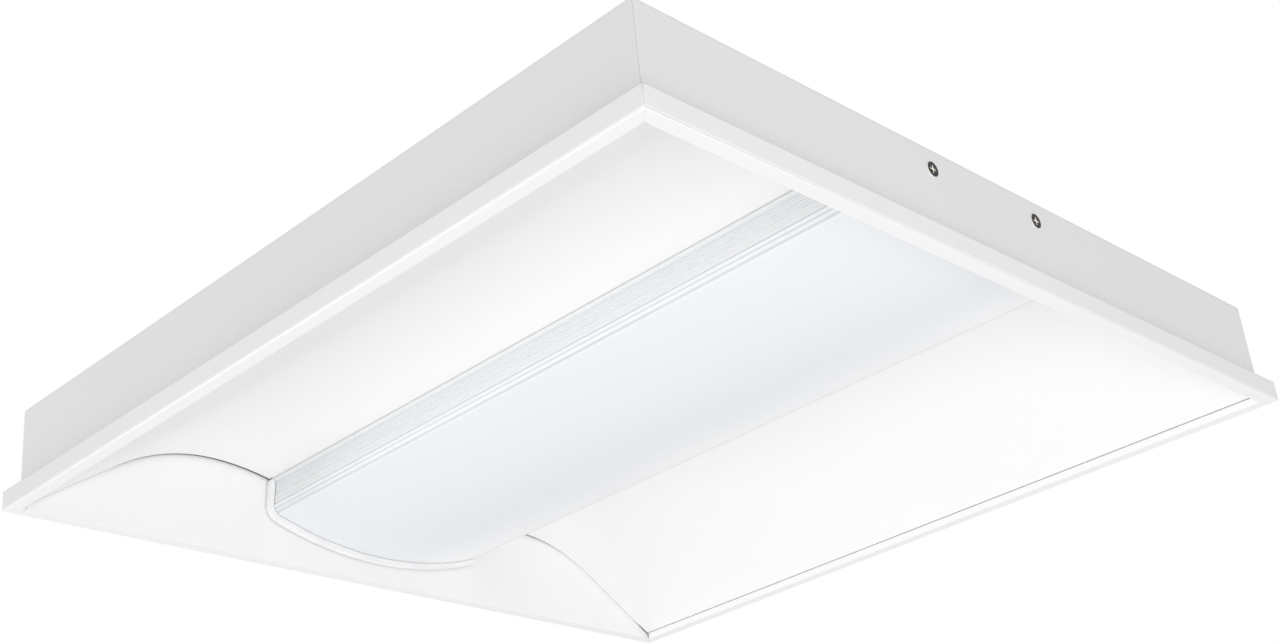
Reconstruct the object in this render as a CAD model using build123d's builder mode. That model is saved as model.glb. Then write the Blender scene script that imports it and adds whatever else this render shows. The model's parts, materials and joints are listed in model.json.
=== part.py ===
from build123d import *
import math
import os

os.makedirs("parts", exist_ok=True)

# Recessed troffer light for a two-foot ceiling grid. Frame: origin at the centre
# of the bottom flange's underside, +Z up into the ceiling, Y along the lamp,
# X across it. The hinged lens swings down about its left edge (-X).

# ---------------------------------------------------------------- driving sizes
rim_size = 603.2  # over the rim, both ways
pan_height = 72.5  # bottom flange to the housing's back
lens_top_half = 95.6
driver_length = 260.0

sheet = 0.7  # painted steel sheet
shadow_gap = 0.6  # open seam between the rim's lip and a reflector
end_gap = 0.4  # open seam between a reflector and an end plate
shadow_clearance = 0.1

rim_height = 14.0
rim_ledge = 8.1  # rim's outer face to the housing wall
rim_bend = 1.2
end_lip_height = 4.5
side_lip_reach = 3.4
side_lip_rise = 3.1
lip_relief = 1.0
key_leg = 45.0
key_thickness = 1.5
key_clearance = 0.6

pan_top_bend = 3.0
pan_corner_bend = 1.5
end_plate_foot = 0.2
bead_inset = 103.5  # stiffening beads pressed into the back
bead_end_inset = 73.5
bead_width = 14.0
bead_depth = 1.5
hanger_inset = 23.5  # wire holes from the housing's walls
hanger_hole_r = 3.2

outer_radius = 143.0
inner_radius = 200.0
inner_run = 48.2
apex_room = 3.3  # between the reflector's highest line and the back
wall_flange = 14.0

lens_room = 3.2  # lens's top edge to the reflector's inner edge
lens_depth = 44.0
lens_bow = 277.0  # radius of the lens's bottom
lens_flare = 2.2  # extra half width where flank and bottom would meet
lens_corner = 8.0
lens_wall = 1.8
lens_lip = 3.0  # inturned edge along the top of each flank
lens_bead = 2.0  # outturned edge along the top of each flank
lens_bead_height = 2.4
flute_radius = 0.45
flute_pitch = 1.7
upper_flutes = 7
upper_flute_start = 3.4  # along the flank from its top edge
lower_flutes = 4
lower_flute_start = 17.0

cap_rim = 3.8  # how far an end cap stands out round the lens
cap_depth = 4.8
cap_back = 3.0
cap_notch_inset = 25.6
cap_notch_depth = 10.5
seat_clearance = 0.15
swing_clearance = 0.3  # between the moving lens and what stays still

hinge_pin_r = 1.2
hinge_corner = 2.5  # pin centre to the cap's side and top faces
pin_hold = 2.8  # pin length inside its cap
pin_running = 0.05
pin_reach = 2.1  # beyond the cap, through bracket and end plate

tray_depth = 7.3  # housing's back to the underside of the lamp tray
tray_end_gap = 0.25
bracket_inset = 3.4
bracket_drop = 12.5
bracket_foot = 16.0
hinge_ear_r = 2.5

board_inset = 50.6
board_width = 24.0
board_end_gap = 0.7
board_thickness = 1.6
led_size = 3.0
led_height = 0.7
led_count = 36
leds_between_rivets = 7
rivets_per_board = 5
rivet_r = 1.5
rivet_head_r = 2.8
rivet_head = 1.0
connector_size = (12.0, 8.0, 4.5)
connector_play = 1.0  # slot in the tray round each connector
connector_inset = 27.0  # from the board's end

seal_width = 3.5
seal_end_gap = 1.6
seal_thickness = 2.1
seal_gap = 0.2  # foam seal to the closed lens

end_screw_spacing = 101.6
end_screw_shift = -6.0
end_screw_drop = 7.5  # below the tray
end_screw_r = 2.0
end_screw_head_r = 5.1
end_screw_head = 2.2
end_screw_length = 7.5
end_dimple_r = 6.0
recess_span = 5.2
recess_slot = 1.2
recess_depth = 1.2
screw_clearance = 0.2
thread_play = 0.1
nut_r = 3.3
nut_height = 2.5

web_screw_spacing = 200.0
web_screw_r = 1.5
web_screw_head_r = 2.6
web_screw_head = 1.8
web_screw_length = 5.0

latch_y = 180.0
latch_width = 20.0
latch_foot = 13.0
latch_drop = 9.0
latch_sheet = 0.4
latch_bump = 1.0
latch_clearance = 0.4

driver_wall_gap = 4.8
driver_width = 30.0
driver_case_height = 24.0
driver_case_bend = 2.0
driver_base_thickness = 1.0
driver_base_width = 32.0
driver_ear = 12.0
driver_lead_gap = 17.0  # driver's end to where the lamp leads cross
driver_screw_r = 2.0
driver_screw_head_r = 3.8
driver_screw_head = 2.2

cover_wall_gap = 9.5
cover_driver_gap = 42.0
cover_width = 72.0
cover_length = 116.0
cover_sheet = 0.8
cover_lap = 10.0
cover_corner = 3.0
knockout_r = 11.1
knockout_spacing = 36.0
slug_gap = 0.2
slug_tab = 2.5
hook_width = 10.0
hook_reach = 5.0
hook_drop = 0.5
hook_x = 18.0
hook_slot_play = 1.0
hook_slot = 4.0
cover_screw_r = 2.0
cover_screw_head_r = 3.8
cover_screw_head = 1.6
cover_screw_length = 6.0
cover_screw_inset = 5.0
cover_screw_play = 0.5

lead_r = 0.8
lead_spacing = 4.0
lead_ceiling_gap = 1.2  # back of the housing to a lead's centre
lead_notch_width = 12.0
lead_notch_drop = 4.3
lead_hold = 3.0  # how far a lead end reaches into its housing
lead_bend = 6.0
lead_ramp = 47.0
lead_drop_run = 16.8
connector_lead_rise = 2.5
bushing_flange = 0.8
driver_lead_drop = 10.8
mains_lead_r = 1.1
push_in_size = (9.0, 18.0, 8.0)
push_in_gap = 58.0
push_in_drop = 19.0
lead_dip = 14.0
ground_screw_gap = 28.0
ground_run = 8.0
ground_bend = 3.0
terminal_sheet = 0.6

# ---------------------------------------------------------------- derived places
half_rim = rim_size / 2
wall_out = half_rim - rim_ledge
wall_in = wall_out - sheet
lip_in = wall_in - sheet
pan_under = pan_height - sheet
end_plate_face = lip_in - sheet  # the end plates' inner faces, along Y
side_lip_tip = lip_in - side_lip_reach
side_lip_top = side_lip_rise + sheet
key_outer = half_rim - sheet - key_clearance
key_inner = wall_out + key_clearance
end_plate_top = pan_height - pan_top_bend
end_plate_half = lip_in - shadow_clearance

reflector_foot = side_lip_top + shadow_gap
reflector_half = end_plate_face - end_gap
reflector_inner = lens_top_half + lens_room
apex_x = reflector_inner + inner_run
apex_z = pan_under - apex_room
inner_z = apex_z - inner_radius + math.sqrt(inner_radius**2 - inner_run**2)
foot_x = side_lip_tip - shadow_clearance
# The flat slope leaves the foot tangent to the outer curve and meets it at the bend
foot_run = foot_x - apex_x
foot_rise = reflector_foot - apex_z + outer_radius
bend_angle = math.atan2(foot_rise, foot_run) + math.acos(outer_radius / math.hypot(foot_run, foot_rise))
bend_x = apex_x + outer_radius * math.cos(bend_angle)
bend_z = apex_z - outer_radius + outer_radius * math.sin(bend_angle)
web_top = pan_under - shadow_clearance
web_inside = reflector_inner - sheet

tray_floor = pan_under - tray_depth  # underside of the lamp tray
tray_half = end_plate_face - tray_end_gap
bracket_face = end_plate_face - sheet
bracket_half = lens_top_half - bracket_inset
lens_top = tray_floor - seal_thickness - seal_gap
lens_bottom = lens_top - lens_depth
lens_foot_half = lens_top_half + lens_flare
lens_foot_z = lens_bottom + lens_bow - math.sqrt(lens_bow**2 - lens_foot_half**2)
flank_lean = math.atan2(lens_flare, lens_top - lens_foot_z)
cap_top = lens_top
cap_outer_y = bracket_face - swing_clearance
lens_half_length = cap_outer_y - cap_back
cap_notch_half = lens_top_half - cap_notch_inset
cap_notch_floor = cap_top - cap_notch_depth

board_x = lens_top_half - board_inset
board_length = 2 * (bracket_face - bracket_foot - board_end_gap)
board_under = tray_floor - board_thickness
led_pitch = board_length / led_count
rivet_pitch = leds_between_rivets * led_pitch
seal_length = 2 * (cap_outer_y - cap_depth - seal_end_gap)
end_screw_z = tray_floor - end_screw_drop
nut_places = [(end_screw_shift + side * end_screw_spacing / 2, end_screw_z) for side in (-1, 1)]
web_screw_z = (tray_floor + sheet + web_top) / 2

lead_y = board_length / 2 - connector_inset
lead_ys = (lead_y - lead_spacing / 2, lead_y + lead_spacing / 2)
lead_z = pan_under - lead_ceiling_gap
connector_lead_z = tray_floor + connector_lead_rise
driver_x = -(wall_in - driver_base_width / 2 - driver_wall_gap)
driver_end = lead_y - driver_lead_gap
driver_start = driver_end - driver_length
driver_base_under = pan_under - driver_base_thickness
driver_ear_y = (driver_start - driver_ear / 2, driver_end + driver_ear / 2)
driver_screw_places = [(driver_x, y) for y in driver_ear_y]
driver_lead_z = driver_base_under - driver_lead_drop
push_in_y = driver_start - push_in_gap
push_in_z = driver_base_under - push_in_drop
ground_lead_z = push_in_z
ground_screw_y = driver_start - ground_screw_gap
terminal_under = pan_under - terminal_sheet

cover_x = -(wall_out - cover_wall_gap - cover_width / 2)
cover_y = driver_start - cover_driver_gap - cover_length / 2
cover_hinge_y = cover_y - cover_length / 2
cover_screw_y = cover_y + cover_length / 2 - cover_screw_inset
opening_width = cover_width - 2 * cover_lap
opening_length = cover_length - 2 * cover_lap
hook_places = ((cover_x - hook_x, cover_hinge_y), (cover_x + hook_x, cover_hinge_y))

web_screw_places = [(y, web_screw_z) for y in (-web_screw_spacing, 0, web_screw_spacing)]
first_rivet = -rivet_pitch * (rivets_per_board - 1) / 2
rivet_places = [
    (side * board_x, first_rivet + rivet_pitch * row) for side in (-1, 1) for row in range(rivets_per_board)
]
latch_x = lens_top_half - lens_lip - latch_clearance - latch_bump
latch_bend_z = tray_floor - latch_drop / 2
latch_rivet_places = [(latch_x - latch_foot / 2, side * latch_y) for side in (-1, 1)]
flute_rows = [upper_flute_start + flute_pitch * row for row in range(upper_flutes)]
flute_rows += [lower_flute_start + flute_pitch * row for row in range(lower_flutes)]

SIDES = (("left", -1, 180), ("right", 1, 0))
ENDS = (("front", -1), ("rear", 1))


def flank_x(z, grow):
    """Half width of the lens's outline at this height, grown outwards by grow."""
    return lens_top_half + (lens_top - z) * math.tan(flank_lean) + grow / math.cos(flank_lean)


hinge_z = cap_top - hinge_corner
hinge_x = -flank_x(hinge_z, cap_rim - hinge_corner)


def keep(name, piece):
    """Labels a finished piece and writes it under its own name."""
    piece.part.label = name
    export_step(piece.part, f"parts/{name}.step")


def upright(turn):
    """A vertical plane through the centre: local X points outwards, local Y up."""
    outwards = Vector(1, 0, 0).rotate(Axis.Z, turn)
    return Plane(origin=(0, 0, 0), x_dir=outwards, z_dir=outwards.cross(Vector(0, 0, 1)))


def across(y):
    """A vertical plane across the lamp at this Y: local X is X, local Y is Z."""
    return Plane.XZ.offset(-y)


def outwards_at(side, depth):
    """Extrusion amount that goes away from the centre on a plane from across()."""
    return -side * depth


def pierce_web(side):
    """Screw holes, and on the driver's side a lead notch, through web and reflector."""
    web_face = Plane.YZ.offset(side * (web_inside - sheet))
    with BuildSketch(web_face) as piercing:
        with Locations(*web_screw_places):
            Circle(web_screw_r)
        if side < 0:
            with Locations((lead_y, pan_under)):
                Rectangle(lead_notch_width, lead_notch_drop, align=(Align.CENTER, Align.MAX))
    extrude(piercing.sketch, amount=side * 4 * sheet, mode=Mode.SUBTRACT)


# ---------------------------------------------------------------- rim
def rim_rail(name, turn, leaning_lip):
    """One mitred side of the hollow rim, open at the back where the pan stands in."""
    outwards = Vector(1, 0, 0).rotate(Axis.Z, turn)
    along = Vector(0, 1, 0).rotate(Axis.Z, turn)
    if leaning_lip:
        lip = (
            (side_lip_tip + sheet, side_lip_top),
            (side_lip_tip, side_lip_top),
            (side_lip_tip, side_lip_rise),
        )
    else:
        lip = (
            (wall_in, end_lip_height),
            (lip_in, end_lip_height),
        )
    with BuildPart() as rail:
        with BuildSketch(upright(turn)) as section:
            with BuildLine():
                Polyline(
                    (lip_in, 0),
                    (half_rim, 0),
                    (half_rim, rim_height),
                    (wall_out, rim_height),
                    (wall_out, rim_height - sheet),
                    (half_rim - sheet, rim_height - sheet),
                    (half_rim - sheet, sheet),
                    (wall_in, sheet),
                    *lip,
                    close=True,
                )
            make_face()
            fillet(section.vertices().group_by(Axis.X)[-2], rim_bend - sheet)
            fillet(section.vertices().group_by(Axis.X)[-1], rim_bend)
        extrude(amount=half_rim, both=True)
        for side in (-1, 1):
            split(bisect_by=Plane(origin=(0, 0, 0), z_dir=outwards + along * side), keep=Keep.TOP)
        # The upright lip stops short of the pan's folded corners
        for side in (-1, 1):
            with BuildSketch(Plane.XY.offset(rim_height / 2)):
                with Locations(outwards * wall_in + along * side * wall_in):
                    Rectangle(2 * lip_relief, 2 * lip_relief)
            extrude(amount=rim_height / 2 - sheet, both=True, mode=Mode.SUBTRACT)
    keep(name, rail)


rim_rail("rim_rail_right", 0, True)
rim_rail("rim_rail_rear", 90, False)
rim_rail("rim_rail_left", 180, True)
rim_rail("rim_rail_front", 270, False)

# Corner keys: flat angles lying inside the hollow rim, one at each mitre.
with BuildPart() as rim_corner_keys:
    with BuildSketch(Plane.XY.offset(sheet)):
        with GridLocations(2 * key_outer - key_leg, 2 * key_outer - key_leg, 2, 2):
            Rectangle(key_leg, key_leg)
        Rectangle(2 * key_inner, 2 * key_inner, mode=Mode.SUBTRACT)
    extrude(amount=key_thickness)
keep("rim_corner_keys", rim_corner_keys)

# ---------------------------------------------------------------- housing pan
with BuildPart() as housing_pan:
    with BuildSketch(Plane.XY.offset(sheet)):
        Rectangle(2 * wall_out, 2 * wall_out)
    extrude(amount=pan_height - sheet)
    fillet(housing_pan.edges().filter_by(Axis.Z), pan_corner_bend)
    fillet(housing_pan.faces().sort_by(Axis.Z)[-1].edges(), pan_top_bend)
    with BuildSketch(Plane.XY.offset(pan_height)):
        with Locations((bead_inset - wall_out, 0), (wall_out - bead_inset, 0)):
            SlotOverall(2 * (wall_out - bead_end_inset), bead_width, rotation=90)
    extrude(amount=-bead_depth, mode=Mode.SUBTRACT)
    offset(amount=-sheet, openings=housing_pan.faces().sort_by(Axis.Z)[0])
    # Hanger-wire holes, the wiring opening, and the slots for the cover's hooks
    with BuildSketch(Plane.XY.offset(pan_height)):
        with GridLocations(2 * (wall_out - hanger_inset), 2 * (wall_out - hanger_inset), 2, 2):
            Circle(hanger_hole_r)
        with Locations((cover_x, cover_y)):
            Rectangle(opening_width, opening_length)
        with Locations(*[(x, y - hook_slot_play) for x, y in hook_places]):
            Rectangle(hook_width + 2 * hook_slot_play, hook_slot, align=(Align.CENTER, Align.MIN))
        with Locations((cover_x, cover_screw_y)):
            Circle(cover_screw_r + cover_screw_play)
        with Locations(*[(driver_x, y) for y in (*driver_ear_y, ground_screw_y)]):
            Circle(driver_screw_r + thread_play)
    extrude(amount=-2 * sheet, mode=Mode.SUBTRACT)
    for end, side in ENDS:
        with BuildSketch(across(side * wall_out)):
            with Locations(*nut_places):
                Circle(end_screw_r + screw_clearance)
        extrude(amount=outwards_at(-side, 2 * sheet), mode=Mode.SUBTRACT)
keep("housing_pan", housing_pan)

# ---------------------------------------------------------------- end plates
for end, side in ENDS:
    with BuildPart() as end_plate:
        with BuildSketch(across(side * end_plate_face)):
            with BuildLine():
                Polyline(
                    (-end_plate_half, side_lip_top + shadow_clearance),
                    (-side_lip_tip + shadow_clearance, side_lip_top + shadow_clearance),
                    (-side_lip_tip + shadow_clearance, end_plate_foot),
                    (side_lip_tip - shadow_clearance, end_plate_foot),
                    (side_lip_tip - shadow_clearance, side_lip_top + shadow_clearance),
                    (end_plate_half, side_lip_top + shadow_clearance),
                    (end_plate_half, end_plate_top),
                    (-end_plate_half, end_plate_top),
                    close=True,
                )
            make_face()
        extrude(amount=outwards_at(side, sheet))
        # Dimples pressed back against the pan's end wall, with the screw holes
        with BuildSketch(across(side * end_plate_face)):
            with Locations(*nut_places):
                Circle(end_dimple_r)
        extrude(amount=outwards_at(side, 2 * sheet))
        with BuildSketch(across(side * end_plate_face)):
            with Locations(*nut_places):
                Circle(end_dimple_r - sheet)
        extrude(amount=outwards_at(side, sheet), mode=Mode.SUBTRACT)
        with BuildSketch(across(side * end_plate_face)):
            with Locations(*nut_places):
                Circle(end_screw_r + screw_clearance)
            with Locations((hinge_x, hinge_z)):
                Circle(hinge_pin_r + pin_running)
        extrude(amount=outwards_at(side, 2 * sheet), mode=Mode.SUBTRACT)
    keep(f"end_plate_{end}", end_plate)

# ---------------------------------------------------------------- reflectors
for side_name, side, turn in SIDES:
    with BuildPart() as reflector:
        with BuildSketch(upright(turn)):
            with BuildLine():
                Polyline(
                    (wall_in, reflector_foot + wall_flange),
                    (wall_in, reflector_foot),
                    (foot_x, reflector_foot),
                    (bend_x, bend_z),
                )
                RadiusArc((bend_x, bend_z), (apex_x, apex_z), -outer_radius)
                RadiusArc((apex_x, apex_z), (reflector_inner, inner_z), -inner_radius)
                Line((reflector_inner, inner_z), (reflector_inner, web_top))
                offset(amount=sheet, side=Side.RIGHT)
            make_face()
        extrude(amount=reflector_half, both=True)
        pierce_web(side)
    keep(f"reflector_{side_name}", reflector)

# ---------------------------------------------------------------- lamp tray
with BuildPart() as led_tray:
    with BuildSketch(Plane.XZ):
        with BuildLine():
            Polyline(
                (-reflector_inner, tray_floor),
                (reflector_inner, tray_floor),
                (reflector_inner, web_top),
                (web_inside, web_top),
                (web_inside, tray_floor + sheet),
                (-web_inside, tray_floor + sheet),
                (-web_inside, web_top),
                (-reflector_inner, web_top),
                close=True,
            )
        make_face()
    extrude(amount=tray_half, both=True)
    with BuildSketch(Plane.XY.offset(tray_floor)):
        with Locations((-board_x, lead_y), (board_x, lead_y)):
            Rectangle(connector_size[0] + 2 * connector_play, connector_size[1] + 2 * connector_play)
        with Locations(*rivet_places, *latch_rivet_places):
            Circle(rivet_r)
    extrude(amount=sheet, mode=Mode.SUBTRACT)
    for side_name, side, turn in SIDES:
        pierce_web(side)
keep("led_tray", led_tray)

# End brackets hang the tray on the end walls' screws and carry the hinge pins.
for end, side in ENDS:
    with BuildPart() as tray_bracket:
        with BuildSketch(across(side * bracket_face)):
            with Locations((0, tray_floor)):
                Rectangle(2 * bracket_half, bracket_drop, align=(Align.CENTER, Align.MAX))
            with Locations((hinge_x, hinge_z)):
                Rectangle(bracket_half, 2 * hinge_ear_r, align=(Align.MIN, Align.CENTER))
                Circle(hinge_ear_r)
                Circle(hinge_pin_r + pin_running, mode=Mode.SUBTRACT)
            with Locations(*nut_places):
                Circle(end_screw_r + thread_play, mode=Mode.SUBTRACT)
        extrude(amount=outwards_at(side, sheet))
        with BuildSketch(Plane.XY.offset(tray_floor)):
            with Locations((0, side * (bracket_face - bracket_foot / 2))):
                Rectangle(2 * bracket_half, bracket_foot)
        extrude(amount=-sheet)
    keep(f"tray_bracket_{end}", tray_bracket)

with BuildPart() as tray_nuts:
    for end, side in ENDS:
        with BuildSketch(across(side * bracket_face)):
            with Locations(*nut_places):
                Circle(nut_r)
                Circle(end_screw_r + thread_play, mode=Mode.SUBTRACT)
        extrude(amount=outwards_at(-side, nut_height))
keep("tray_nuts", tray_nuts)

with BuildPart() as end_screws:
    for end, side in ENDS:
        with BuildSketch(across(side * wall_out)):
            with Locations(*nut_places):
                Circle(end_screw_head_r)
        extrude(amount=outwards_at(side, end_screw_head))
        with BuildSketch(across(side * wall_out)):
            with Locations(*nut_places):
                Circle(end_screw_r)
        extrude(amount=outwards_at(-side, end_screw_length))
    for end, side in ENDS:
        fillet(
            end_screws.edges()
            .filter_by(GeomType.CIRCLE)
            .filter_by_position(Axis.Y, *sorted((side * (wall_out + end_screw_head),) * 2)),
            end_screw_head / 3,
        )
        with BuildSketch(across(side * (wall_out + end_screw_head))):
            with Locations(*nut_places):
                Rectangle(recess_span, recess_slot)
                Rectangle(recess_slot, recess_span)
        extrude(amount=outwards_at(-side, recess_depth), mode=Mode.SUBTRACT)
keep("end_screws", end_screws)

with BuildPart() as reflector_screws:
    for side_name, side, turn in SIDES:
        web_face = Plane.YZ.offset(side * web_inside)
        with BuildSketch(web_face):
            with Locations(*web_screw_places):
                Circle(web_screw_head_r)
        extrude(amount=-side * web_screw_head)
        with BuildSketch(web_face):
            with Locations(*web_screw_places):
                Circle(web_screw_r)
        extrude(amount=side * web_screw_length)
keep("reflector_screws", reflector_screws)

# ---------------------------------------------------------------- lamps
for side_name, side, turn in SIDES:
    with BuildPart() as led_board:
        with BuildSketch(Plane.XY.offset(board_under)):
            with Locations((side * board_x, 0)):
                Rectangle(board_width, board_length)
            with Locations(*[place for place in rivet_places if place[0] * side > 0]):
                Circle(rivet_r, mode=Mode.SUBTRACT)
        extrude(amount=board_thickness)
    keep(f"led_board_{side_name}", led_board)

    with BuildPart() as leds:
        with BuildSketch(Plane.XY.offset(board_under)):
            with Locations((side * board_x, 0)):
                with GridLocations(led_pitch, led_pitch, 1, led_count):
                    Rectangle(led_size, led_size)
        extrude(amount=-led_height)
    keep(f"leds_{side_name}", leds)


def rivets(places, under):
    """Rivets through the tray floor with a head on each face, heads under at this height."""
    for z, radius, height in (
        (under, rivet_head_r, -rivet_head),
        (under, rivet_r, tray_floor + sheet - under),
        (tray_floor + sheet, rivet_head_r, rivet_head),
    ):
        with BuildSketch(Plane.XY.offset(z)) as discs:
            with Locations(*places):
                Circle(radius)
        extrude(discs.sketch, amount=height)


with BuildPart() as board_rivets:
    rivets(rivet_places, board_under)
keep("board_rivets", board_rivets)

with BuildPart() as board_connectors:
    with BuildSketch(Plane.XY.offset(tray_floor)):
        with Locations((-board_x, lead_y), (board_x, lead_y)):
            Rectangle(connector_size[0], connector_size[1])
    extrude(amount=connector_size[2])
    with BuildSketch(Plane.YZ.offset(-2 * board_x)):
        with Locations(*[(y, connector_lead_z) for y in lead_ys]):
            Circle(lead_r)
    extrude(amount=4 * board_x, mode=Mode.SUBTRACT)
keep("board_connectors", board_connectors)

for side_name, side, turn in SIDES:
    with BuildPart() as light_seal:
        with BuildSketch(Plane.XY.offset(tray_floor)):
            with Locations((side * (lens_top_half - lens_lip + seal_width / 2), 0)):
                Rectangle(seal_width, seal_length)
        extrude(amount=lens_top + seal_gap - tray_floor)
    keep(f"light_seal_{side_name}", light_seal)

# Latch springs hang beside the lens's inturned edge on the side that swings.
with BuildPart() as latch_springs:
    for side in (-1, 1):
        with BuildSketch(across(side * latch_y)):
            with BuildLine():
                Polyline(
                    (latch_x - latch_foot, tray_floor),
                    (latch_x, tray_floor),
                    (latch_x, latch_bend_z + latch_bump),
                    (latch_x + latch_bump, latch_bend_z),
                    (latch_x, tray_floor - latch_drop),
                )
                offset(amount=latch_sheet, side=Side.RIGHT, kind=Kind.INTERSECTION)
            make_face()
        extrude(amount=latch_width / 2, both=True)
        with BuildSketch(Plane.XY.offset(tray_floor)):
            with Locations(*latch_rivet_places):
                Circle(rivet_r)
        extrude(amount=-latch_sheet, mode=Mode.SUBTRACT)
keep("latch_springs", latch_springs)

with BuildPart() as latch_rivets:
    rivets(latch_rivet_places, tray_floor - latch_sheet)
keep("latch_rivets", latch_rivets)


# ---------------------------------------------------------------- swinging diffuser
def bowl(grow, top, mode=Mode.ADD):
    """The lens's outline grown outwards by grow and carried up to this height."""
    low = lens_bottom - grow
    right = ((flank_x(low, grow), low), (flank_x(top, grow), top))
    left = [(-x, z) for x, z in reversed(right)]
    with BuildSketch() as outline:
        Polygon(*left, *right, align=None)
        with Locations((0, lens_bottom + lens_bow)):
            Circle(lens_bow + grow, mode=Mode.INTERSECT)
        fillet(outline.vertices().sort_by(Axis.Y)[:2], lens_corner + grow)
    add(outline.sketch, mode=mode)


with BuildPart() as diffuser_lens:
    with BuildSketch(Plane.XZ):
        bowl(0, lens_top)
        # Beads along the top edges close most of the gap beside each reflector
        with Locations((0, lens_top)):
            Rectangle(2 * (lens_top_half + lens_bead), lens_bead_height, align=(Align.CENTER, Align.MAX))
        bowl(-lens_wall, lens_top - lens_wall, Mode.SUBTRACT)
        with Locations((0, lens_top)):
            Rectangle(2 * (lens_top_half - lens_lip), 3 * lens_wall, mode=Mode.SUBTRACT)
        # Fine flutes run the length of both flanks
        for down in flute_rows:
            z = lens_top - down * math.cos(flank_lean)
            with Locations((-flank_x(z, 0), z), (flank_x(z, 0), z)):
                Circle(flute_radius, mode=Mode.SUBTRACT)
    extrude(amount=lens_half_length, both=True)
keep("diffuser_lens", diffuser_lens)

for end, side in ENDS:
    with BuildPart() as lens_cap:
        with BuildSketch(across(side * (cap_outer_y - cap_depth))) as rim:
            bowl(cap_rim, cap_top)
            fillet(rim.vertices().sort_by(Axis.Y)[-2:], hinge_corner)
        extrude(amount=outwards_at(side, cap_depth))
        with BuildSketch(across(side * (cap_outer_y - cap_depth))):
            bowl(seat_clearance, cap_top + cap_rim)
            with Locations((0, lens_top - lens_bead_height - seat_clearance)):
                Rectangle(
                    2 * (lens_top_half + lens_bead + seat_clearance),
                    cap_top,
                    align=(Align.CENTER, Align.MIN),
                )
        extrude(amount=outwards_at(side, cap_depth - cap_back), mode=Mode.SUBTRACT)
        with BuildSketch(across(side * cap_outer_y)):
            with Locations((0, cap_notch_floor)):
                Rectangle(2 * cap_notch_half, cap_top, align=(Align.CENTER, Align.MIN))
        extrude(amount=outwards_at(-side, cap_depth), mode=Mode.SUBTRACT)
        with BuildSketch(across(side * cap_outer_y)):
            with Locations((hinge_x, hinge_z)):
                Circle(hinge_pin_r)
        extrude(amount=outwards_at(-side, pin_hold), mode=Mode.SUBTRACT)
    keep(f"lens_cap_{end}", lens_cap)

with BuildPart() as hinge_pins:
    for end, side in ENDS:
        with BuildSketch(across(side * (cap_outer_y - pin_hold))):
            with Locations((hinge_x, hinge_z)):
                Circle(hinge_pin_r)
        extrude(amount=outwards_at(side, pin_hold + pin_reach))
keep("hinge_pins", hinge_pins)

# ---------------------------------------------------------------- driver
with BuildPart() as driver_base:
    with BuildSketch(Plane.XY.offset(driver_base_under)):
        with Locations((driver_x, driver_start - driver_ear)):
            Rectangle(driver_base_width, driver_length + 2 * driver_ear, align=(Align.CENTER, Align.MIN))
        with Locations(*driver_screw_places):
            Circle(driver_screw_r + thread_play, mode=Mode.SUBTRACT)
    extrude(amount=driver_base_thickness)
keep("driver_base", driver_base)

lamp_lead_xs = (driver_x - lead_spacing / 2, driver_x + lead_spacing / 2)
mains_lead_xs = (driver_x - driver_width / 4, driver_x + driver_width / 4)
with BuildPart() as driver_case:
    with BuildSketch(Plane.XY.offset(driver_base_under)):
        with Locations((driver_x, driver_start)):
            Rectangle(driver_width, driver_length, align=(Align.CENTER, Align.MIN))
    extrude(amount=-driver_case_height)
    fillet(driver_case.edges().filter_by(Axis.Y).group_by(Axis.Z)[0], driver_case_bend)
    with BuildSketch(across(driver_end)):
        with Locations(*[(x, driver_lead_z) for x in lamp_lead_xs]):
            Circle(lead_r)
    extrude(amount=lead_hold, mode=Mode.SUBTRACT)
    with BuildSketch(across(driver_start)):
        with Locations(*[(x, driver_lead_z) for x in mains_lead_xs], (driver_x, ground_lead_z)):
            Circle(mains_lead_r)
    extrude(amount=-lead_hold, mode=Mode.SUBTRACT)
keep("driver_case", driver_case)

with BuildPart() as driver_screws:
    with BuildSketch(Plane.XY.offset(driver_base_under)):
        with Locations(*driver_screw_places):
            Circle(driver_screw_head_r)
    extrude(amount=-driver_screw_head)
    with BuildSketch(Plane.XY.offset(driver_base_under)):
        with Locations(*driver_screw_places):
            Circle(driver_screw_r)
    extrude(amount=pan_height - driver_base_under)
keep("driver_screws", driver_screws)

with BuildPart() as ground_screw:
    with BuildSketch(Plane.XY.offset(terminal_under)):
        with Locations((driver_x, ground_screw_y)):
            Circle(driver_screw_head_r)
    extrude(amount=-driver_screw_head)
    with BuildSketch(Plane.XY.offset(terminal_under)):
        with Locations((driver_x, ground_screw_y)):
            Circle(driver_screw_r)
    extrude(amount=sheet + terminal_sheet)
keep("ground_screw", ground_screw)


# ---------------------------------------------------------------- wiring
def lead(radius, bends, *points):
    """A round lead along straight runs joined by tangent bends."""
    with BuildLine() as route:
        FilletPolyline(*points, radius=bends)
    with BuildSketch(Plane(origin=points[0], z_dir=Vector(*points[1]) - Vector(*points[0]))) as end:
        Circle(radius)
    sweep(end.sketch, path=route.line)


with BuildPart() as lamp_leads:
    for x, y in zip(lamp_lead_xs, reversed(lead_ys)):
        lead(
            lead_r,
            lead_bend,
            (x, driver_end - lead_hold, driver_lead_z),
            (x, y, driver_lead_z),
            (driver_x + lead_ramp, y, lead_z),
            (lead_drop_run - reflector_inner, y, lead_z),
            (-board_x - connector_size[0], y, connector_lead_z),
            (-board_x - lead_hold, y, connector_lead_z),
        )
keep("lamp_leads", lamp_leads)

with BuildPart() as board_link_leads:
    with BuildSketch(Plane.YZ):
        with Locations(*[(y, connector_lead_z) for y in lead_ys]):
            Circle(lead_r)
    extrude(amount=board_x - lead_hold, both=True)
keep("board_link_leads", board_link_leads)

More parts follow.
